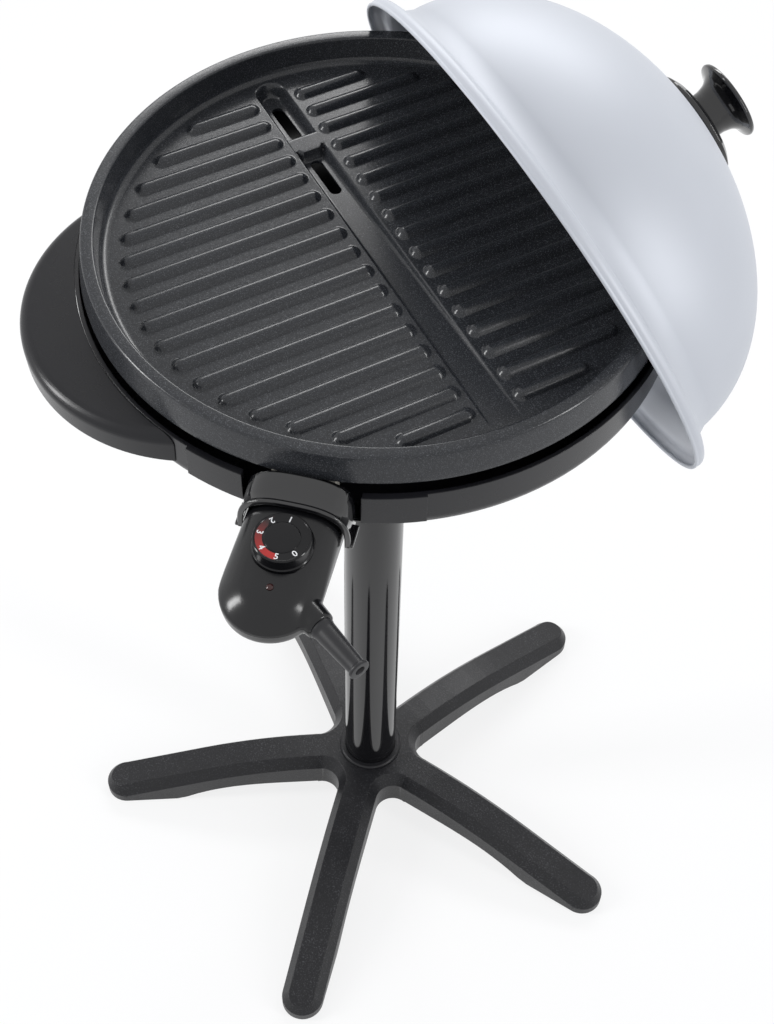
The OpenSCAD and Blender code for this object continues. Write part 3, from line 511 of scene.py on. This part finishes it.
def build_lid():
    outside = (bow(227.5, 1.5, 1.5, -80, 40, 6)
               + [(228.7, 3.4), (228.92, 5.0)] + bow(222.97, 5.0, 5.95, 6, 76, 9)
               + [(219.5, 11.75), (217.2, 12.1)]
               + [(214.6, 12.9), (212.4, 14.8), (209.4, 18.6)]
               + dome_arc(206, 151, 5, 89.2, 52))
    inside = (dome_arc(204.8, 149.8, 89.2, 5, 52)
              + [(208.3, 18.2), (211.4, 13.9), (213.8, 11.7), (217.0, 10.9), (219.3, 10.55)]
              + bow(223.0, 5.0, 4.8, 76, 0, 8) + [(227.6, 3.6), (226.6, 2.9)]
              + bow(227.3, 1.5, 1.5, 150, 262, 5))
    profile = outside + [(3.0, 164.6), (3.0, 163.4)] + inside
    verts, faces = lid_place(lathe(profile, 256))
    piece("lid_dome_turned", verts, faces, "lid", "lid_lacquer", ["lid_dome"], 40)
    seat = 164.7
    shield = rounded([(3.0, seat, 0), (20, seat - 0.5, 0), (44.8, seat - 3.2, 0.4), (45.8, seat - 2.6, 0.6),
                      (45.8, seat + 0.9, 1.2), (40.0, seat + 4.4, 8), (30.0, seat + 7.2, 10), (22.0, seat + 8.5, 3),
                      (19.0, seat + 9.0, 0.3), (3.0, seat + 9.0, 0)], 6)
    verts, faces = lid_place(lathe(shield, 128))
    piece("knob_shield_turned", verts, faces, "lid", "knob_plastic", ["knob_shield"], 45)
    base = seat + 9.0
    knob = rounded([(0, base, 0), (19.2, base, 0.4), (19.5, base + 8.0, 12), (21.4, base + 15.5, 12),
                    (26.0, base + 20.5, 8), (33.2, base + 22.9, 1.0), (34.0, base + 24.4, 1.2),
                    (33.3, base + 26.6, 1.4), (29.0, base + 27.6, 2.5), (22.0, base + 28.4, 4),
                    (0, base + 29.0, 0)], 6)
    verts, faces = lid_place(lathe(knob, 128))
    piece("lid_knob_turned", verts, faces, "lid", "knob_plastic", ["lid_knob"], 45)


# ---------------------------------------------------------------- hood
def arch(w, h, n=72):
    t = np.radians(np.linspace(0, 180, n + 1))
    c, s = np.cos(t), np.clip(np.sin(t), 0, None)
    return np.stack([w * np.sign(c) * np.abs(c) ** 0.72, h * s ** 0.62], 1)


def soft_box(low, high, r, steps=3):
    """A box with round edges."""
    outline = rounded([(x, y, r) for x, y in ((low[0], low[1]), (high[0], low[1]),
                                              (high[0], high[1]), (low[0], high[1]))], steps)
    mid = ((low[0] + high[0]) / 2, (low[1] + high[1]) / 2)
    rising = np.radians(np.linspace(0, 90, steps + 1))
    falling = np.radians(np.linspace(90, 0, steps + 1))
    rings = []
    for z, cut in ([(low[2] + r * (1 - math.cos(a)), r * (1 - math.sin(a))) for a in rising]
                   + [(high[2] - r * (1 - math.cos(a)), r * (1 - math.sin(a))) for a in falling]):
        sx = 1 - 2 * cut / (high[0] - low[0])
        sy = 1 - 2 * cut / (high[1] - low[1])
        rings.append([(mid[0] + (x - mid[0]) * sx, mid[1] + (y - mid[1]) * sy, z) for x, y in outline])
    return loft(rings)


def build_hood():
    half, tall, wall = 39.5, 36.5, 2.6
    rings = []
    # y of each ring, how far its outside swells and how far its inside opens
    for y, out, into in ((-224.35, -0.4, 0.4), (-224.7, 0, 0), (-229.9, 0, 0), (-230.5, 0, 0), (-230.7, 0, 0),
                         (-230.9, 0, 0), (-231.2, 0, 0), (-232.0, 0, 0), (-238.0, 0, 0), (-244.0, 0, 0),
                         (-249.4, 0, 0), (-250.0, 0.3, 0), (-250.5, 0.9, 0), (-251.0, 1.4, 0), (-251.6, 1.6, 0),
                         (-252.6, 1.6, 0), (-253.1, 1.4, 0.1), (-253.4, 1.0, 0.35), (-253.5, 0.5, 0.8)):
        if y < -231.9:
            up = max(0.0, 7.0 + 0.36 * (y + 232.0))
        else:
            up = 7.0 * float(ease(np.array((-229.8 - y) / 1.4)))
        outer = arch(half + out, tall + out)
        outer[:, 1] += up * ease(outer[:, 1] / 22.0)
        inner = arch(half - wall + into, tall - wall + into)[::-1]
        loop = np.concatenate([outer, inner])
        rings.append(np.stack([loop[:, 0], np.full(len(loop), y), HOOD_FOOT + loop[:, 1]], 1))
    parts = [loft(rings)]
    for side in (-1, 1):
        parts.append(soft_box((side * 40.5 - 2.5, -253.5, HOOD_FOOT),
                              (side * 40.5 + 2.5, -233.9, HOOD_FOOT + 2.6), 0.9))
    verts, faces = merged(*parts)
    piece("control_hood_arch", verts, faces, "grill", "hood_plastic", ["control_hood"], 40)


# ---------------------------------------------------------------- thermostat
def hull(points):
    work = bmesh.new()
    for p in mm(points):
        work.verts.new(p)
    found = bmesh.ops.convex_hull(work, input=work.verts)
    buried = [v for v in found["geom_interior"] if isinstance(v, bmesh.types.BMVert)]
    bmesh.ops.delete(work, geom=buried, context="VERTS")
    loose = [v for v in work.verts if not v.link_faces]
    bmesh.ops.delete(work, geom=loose, context="VERTS")
    mesh = bpy.data.meshes.new("hull")
    work.to_mesh(mesh)
    work.free()
    return mesh


def fused(meshes, voxel, rounds, factor=0.5):
    """The meshes as one smooth closed skin."""
    work = bmesh.new()
    for mesh in meshes:
        work.from_mesh(mesh)
    mesh = bpy.data.meshes.new("fused")
    work.to_mesh(mesh)
    work.free()
    obj = bpy.data.objects.new("fused", mesh)
    bpy.context.collection.objects.link(obj)
    remesh = obj.modifiers.new("remesh", "REMESH")
    remesh.mode = "VOXEL"
    remesh.voxel_size = voxel
    smooth = obj.modifiers.new("smooth", "SMOOTH")
    smooth.factor = factor
    smooth.iterations = rounds
    return obj


def applied(obj):
    """The object's mesh with its modifiers applied; the object itself goes."""
    graph = bpy.context.evaluated_depsgraph_get()
    mesh = bpy.data.meshes.new_from_object(obj.evaluated_get(graph))
    bpy.data.objects.remove(obj)
    return mesh


def turned_points(middle, rows, n=72):
    t = np.linspace(0, 2 * math.pi, n, endpoint=False)
    return np.concatenate([np.stack([middle[0] + r * np.cos(t), middle[1] + r * np.sin(t), np.full(n, z)], 1)
                           for r, z in rows])


def cutter(verts, faces):
    mesh = bpy.data.meshes.new("cutter")
    mesh.from_pydata(mm(verts).tolist(), [], [tuple(f) for f in faces])
    work = bmesh.new()
    work.from_mesh(mesh)
    bmesh.ops.recalc_face_normals(work, faces=work.faces)
    work.to_mesh(mesh)
    work.free()
    obj = bpy.data.objects.new("cutter", mesh)
    bpy.context.collection.objects.link(obj)
    return obj


def half_of(mesh, z, keep_top, name):
    """One side of a mesh cut level at z, capped."""
    work = bmesh.new()
    work.from_mesh(mesh)
    cut = bmesh.ops.bisect_plane(work, geom=work.verts[:] + work.edges[:] + work.faces[:], plane_co=(0, 0, z),
                                 plane_no=(0, 0, 1), clear_inner=keep_top, clear_outer=not keep_top)
    rim = [e for e in cut["geom_cut"] if isinstance(e, bmesh.types.BMEdge)]
    bmesh.ops.holes_fill(work, edges=rim)
    out = bpy.data.meshes.new(name)
    work.to_mesh(out)
    work.free()
    return out


def sink(skin, name, y, r, floor, top, n):
    """A round well cut into skin, on the middle line at y; the cutter is returned."""
    tool = cutter(*lathe([(0, floor), (r, floor), (r, top), (0, top)], n))
    tool.location = (0, y, 0)
    cut = skin.modifiers.new(name, "BOOLEAN")
    cut.object = tool
    cut.solver = "EXACT"
    cut.operation = "DIFFERENCE"
    return tool


def build_thermostat():
    middle = (-2.0, -305.0)
    crown = (1.0, 0.985, 0.96, 0.92, 0.87, 0.8, 0.7, 0.58, 0.4, 0.2)
    top = [(36.2, 849.0)] + [(36.2 * t, 866.4 - 17.0 * t ** 3.0) for t in crown]
    low = [(35.3 - 9 + 9 * math.cos(a), 832.6 + 9 + 9 * math.sin(a)) for a in np.radians(np.linspace(-90, 8, 8))]
    case = turned_points(middle, top + low)
    nose = arch(34.9, 32.0, 32)
    rows = [np.stack([nose[:, 0], np.full(len(nose), y), HOOD_FOOT + nose[:, 1]], 1) for y in (-236.3, -240.5)]
    rows += [np.array([(x, y, 834.8) for x in (-33, 33) for y in (-236.3, -240.5)])]
    body = hull(np.concatenate([case] + rows))
    direction = np.array((math.cos(math.radians(TAIL_TURN)), math.sin(math.radians(TAIL_TURN)), 0.0))
    across = np.array((-direction[1], direction[0], 0.0))
    t = np.linspace(0, 2 * math.pi, 48, endpoint=False)

    def ring(off, r):
        circle = np.outer(np.cos(t) * r, across) + np.outer(np.sin(t) * r, (0, 0, 1))
        return np.array(TAIL_AT) + direction * off + circle

    ball = []
    for a in np.radians(np.linspace(-80, 80, 9)):
        ball.append(turned_points((6.0, -299.0), [(14.5 * math.cos(a), 846.0 + 13.0 * math.sin(a))], 32))
    tail = hull(np.concatenate(ball + [ring(-3.2, 11.0), ring(-0.6, 10.9), ring(0.1, 10.2)]))
    skin = fused([body, tail], 0.0011, 14)
    well = sink(skin, "well", DIAL[1] / 1000, 22.7, 866.55, 900, 96)
    lens = sink(skin, "lens", -0.312, 2.7, 864.4, 880, 48)
    bpy.context.view_layer.update()
    mesh = applied(skin)
    for obj in (well, lens):
        bpy.data.objects.remove(obj)
    for name, node, seam, keep_top in (("thermostat_top_case", "thermostat_top", 0.8477, True),
                                       ("thermostat_base_case", "thermostat_base", 0.8473, False)):
        dress(half_of(mesh, seam, keep_top, name), name, "thermostat", "case_plastic", [node], 50)


def boot_outline():
    rows = [(3.6, 0.0), (8.8, 0.0), (8.8, 2.4), (8.35, 3.0)]
    rows += [(8.35 - 1.75 * (s - 3) / 35.5, s) for s in np.linspace(6, 38.5, 8)]
    rows += [(6.6, 39.6), (7.4, 40.1), (7.9, 40.7), (7.95, 42.0),
             (7.5, 42.9), (7.0, 43.0), (3.9, 43.0), (3.6, 42.7)]
    return rows


def build_boot():
    verts, faces = lathe(boot_outline(), 64)
    m = np.array(Matrix.Translation(TAIL_AT) @ Matrix.Rotation(math.radians(TAIL_TURN), 4, "Z")
                 @ Matrix.Rotation(math.radians(90), 4, "Y"))
    piece("cord_boot_tube", verts @ m[:3, :3].T + m[:3, 3], faces, "thermostat", "boot_rubber",
          ["cord_boot"], 45)


# ---------------------------------------------------------------- dial
SCALE_FROM, SCALE_TO = 122.0, 269.5
DIGITS = [("0", -42.5), ("1", 84.0), ("2", 130.7), ("3", 177.4), ("4", 224.1), ("5", 270.8)]
DIGIT_R, DIGIT_Z = 0.0161, 0.87869


def build_dial():
    rows = rounded([(0, 0.0, 0), (21.7, 0.0, 0.3), (21.7, 2.3, 0.5), (20.9, 3.2, 0.5), (20.7, 9.6, 1.5),
                    (20.6, 11.6, 0.5), (19.9, 12.35, 0.4), (19.2, 12.3, 0.35), (18.9, 11.8, 0.2),
                    (0, 11.8, 0)], 4)
    verts, faces = lathe(rows, 128)
    stem = lathe([(0, -12.0), (3.0, -12.0), (3.0, 0.5), (0, 0.5)], 32)
    verts, faces = merged((verts, faces), stem)
    piece("dial_knob_turned", verts + DIAL, faces, "dial", "dial_plastic", ["dial_knob"], 45)
    cap = rounded([(0, 11.8, 0), (12.9, 11.8, 0), (12.8, 12.1, 0.2), (12.0, 12.55, 0.5), (9.0, 12.7, 2),
                   (0, 12.75, 0)], 4)
    verts, faces = lathe(cap, 96)
    piece("dial_cap_turned", verts + DIAL, faces, "dial", "dial_plastic", ["dial_cap"], 45)
    # heat scale: an arc that starts narrow and widens over its first 30 degrees
    rings = []
    for a in np.radians(np.linspace(SCALE_FROM, SCALE_TO, 60)):
        c, s = math.cos(a), math.sin(a)
        share = ease(np.array((a - math.radians(SCALE_FROM)) / math.radians(30.0)))
        r1 = 18.7
        r0 = r1 - 4.9 * max(0.15, float(share))
        rings.append([(r * c, r * s, z) for r, z in ((r0, 11.79), (r1, 11.79), (r1, 11.86), (r0, 11.86))])
    verts, faces = loft(rings)
    piece("dial_scale", verts + DIAL, faces, "dial", "dial_plastic", (), 30, "scale_red")
    for digit, turn in DIGITS:
        curve = bpy.data.curves.new("digit", "FONT")
        curve.body = digit
        curve.size = 0.0066
        curve.offset = 0.00008
        curve.extrude = 0.00006
        curve.align_x = "CENTER"
        curve.align_y = "CENTER"
        curve.resolution_u = 4
        text = bpy.data.objects.new("digit", curve)
        bpy.context.collection.objects.link(text)
        bpy.context.view_layer.update()
        mesh = applied(text)
        a = math.radians(turn)
        place = (DIAL[0] / 1000 + DIGIT_R * math.cos(a), DIAL[1] / 1000 + DIGIT_R * math.sin(a), DIGIT_Z)
        mesh.transform(Matrix.Translation(place) @ Matrix.Rotation(a + math.radians(90), 4, "Z"))
        work = bmesh.new()
        work.from_mesh(mesh)
        bmesh.ops.remove_doubles(work, verts=work.verts, dist=1e-6)
        work.to_mesh(mesh)
        work.free()
        dress(mesh, "dial_digit_" + digit, "dial", "dial_plastic", (), 30, "digit_white")


build_plate()
build_lid()
build_hood()
build_thermostat()
build_boot()
build_dial()


# ---------------------------------------------------------------- stage
PHOTO_HEIGHT, FOCAL = 1024.0, 1713.475  # pixels
SENSOR = 24.0
CAMERA_AT = (0.2072, -0.9106, 1.8330)
CAMERA_TURN = Matrix(((0.973042, -0.19579, 0.121879),
                      (0.230108, 0.788814, -0.569932),
                      (0.015447, 0.582613, 0.812603)))
FLOOR_HALF = 20.0
# name, place, what it aims at, size in metres and power in watts
LAMPS = (("back_bank", (-0.1, 2.1, 2.2), (0, 0, 0.8), (2.2, 0.6), 34),
         ("left_bank", (-2.3, -0.8, 1.8), (0, 0, 0.8), (0.5, 1.4), 40),
         ("right_bank", (2.3, -0.5, 1.75), (0.1, 0, 0.8), (0.35, 1.5), 24))


def build_camera():
    data = bpy.data.cameras.new("camera")
    data.sensor_fit = "VERTICAL"
    data.sensor_height = SENSOR
    data.lens = FOCAL / PHOTO_HEIGHT * SENSOR
    data.clip_end = 50.0
    cam = bpy.data.objects.new("camera", data)
    cam.matrix_world = Matrix.Translation(CAMERA_AT) @ CAMERA_TURN.to_4x4()
    bpy.context.collection.objects.link(cam)
    bpy.context.scene.camera = cam


def area(name, place, target, size, energy):
    data = bpy.data.lights.new(name, "AREA")
    data.shape = "RECTANGLE"
    data.size, data.size_y = size
    data.energy = energy
    lamp = bpy.data.objects.new(name, data)
    lamp.location = place
    lamp.rotation_euler = (Vector(target) - Vector(place)).to_track_quat("-Z", "Y").to_euler()
    bpy.context.collection.objects.link(lamp)


def seen_directly(tree):
    """1 for rays from the camera, mirrored or let through, else 0."""
    path = tree.nodes.new("ShaderNodeLightPath")
    out = path.outputs["Is Camera Ray"]
    for other in ("Is Glossy Ray", "Is Transmission Ray"):
        both = tree.nodes.new("ShaderNodeMath")
        both.operation = "MAXIMUM"
        tree.links.new(out, both.inputs[0])
        tree.links.new(path.outputs[other], both.inputs[1])
        out = both.outputs[0]
    return out


def build_world():
    world = bpy.data.worlds.new("studio")
    bpy.context.scene.world = world
    world.use_nodes = True
    tree = world.node_tree
    out = tree.nodes["World Output"]
    dim = tree.nodes["Background"]
    dim.inputs["Color"].default_value = (0.9, 0.93, 1.0, 1)
    dim.inputs["Strength"].default_value = 0.56
    white = tree.nodes.new("ShaderNodeBackground")
    white.inputs["Color"].default_value = (1, 1, 1, 1)
    white.inputs["Strength"].default_value = 1.0
    mix = tree.nodes.new("ShaderNodeMixShader")
    tree.links.new(seen_directly(tree), mix.inputs["Fac"])
    tree.links.new(dim.outputs["Background"], mix.inputs[1])
    tree.links.new(white.outputs["Background"], mix.inputs[2])
    tree.links.new(mix.outputs["Shader"], out.inputs["Surface"])


def build_floor():
    mesh = bpy.data.meshes.new("floor")
    h = FLOOR_HALF
    mesh.from_pydata([(-h, -h, 0), (h, -h, 0), (h, h, 0), (-h, h, 0)], [], [(0, 1, 2, 3)])
    floor = bpy.data.objects.new("floor", mesh)
    floor.location.z = -0.0002
    bpy.context.collection.objects.link(floor)
    mat = bpy.data.materials.new("floor_white")
    mat.use_nodes = True
    tree = mat.node_tree
    bsdf = tree.nodes["Principled BSDF"]
    bsdf.inputs["Base Color"].default_value = (0.88, 0.88, 0.88, 1)
    bsdf.inputs["Roughness"].default_value = 0.9
    glow = tree.nodes.new("ShaderNodeEmission")
    glow.inputs["Strength"].default_value = 1.0
    share = tree.nodes.new("ShaderNodeMath")
    share.operation = "MULTIPLY"
    share.inputs[1].default_value = 0.8
    mix = tree.nodes.new("ShaderNodeMixShader")
    tree.links.new(seen_directly(tree), share.inputs[0])
    tree.links.new(share.outputs[0], mix.inputs["Fac"])
    tree.links.new(bsdf.outputs[0], mix.inputs[1])
    tree.links.new(glow.outputs[0], mix.inputs[2])
    tree.links.new(mix.outputs[0], tree.nodes["Material Output"].inputs["Surface"])
    mesh.materials.append(mat)


build_camera()
build_world()
build_floor()
for lamp in LAMPS:
    area(*lamp)
bpy.context.scene.view_settings.view_transform = "Standard"
